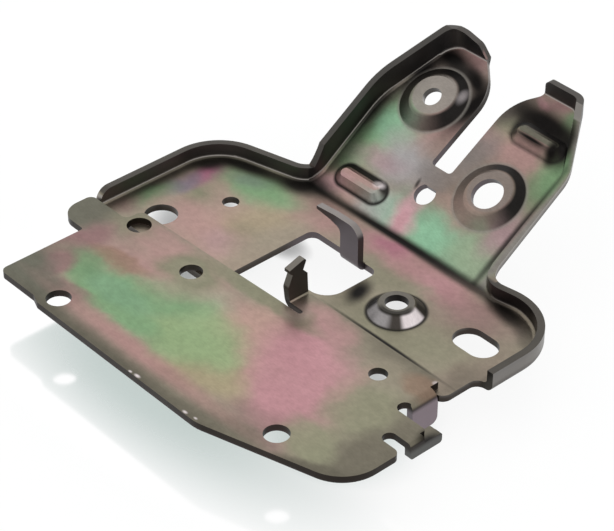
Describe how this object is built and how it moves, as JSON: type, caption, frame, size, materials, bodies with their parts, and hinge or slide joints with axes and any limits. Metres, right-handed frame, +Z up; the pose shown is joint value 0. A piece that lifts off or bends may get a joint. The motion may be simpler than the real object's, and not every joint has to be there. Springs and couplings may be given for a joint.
{
  "type": "mounting plate",
  "caption": "Stamped steel mounting plate with raised twin horns, a drawn rim, a hook and finger at its opening, and a flat welded front sheet with bolt holes.",
  "frame": {"origin": "on the flat underside of the rear sheet's base, midway between the horns and 2 mm in front of the line where they bend up", "axes": "+X to the right across both horns, +Y back from the front sheet to the horn tips, +Z up out of the base's upper face"},
  "size_m": [0.1331, 0.1402, 0.0422],
  "materials": {
    "plated_steel": "satin, iridescent chromate over zinc"
  },
  "bodies": {
    "root": {"horned_plate": "plated_steel", "front_plate": "plated_steel"}
  },
  "joints": []
}
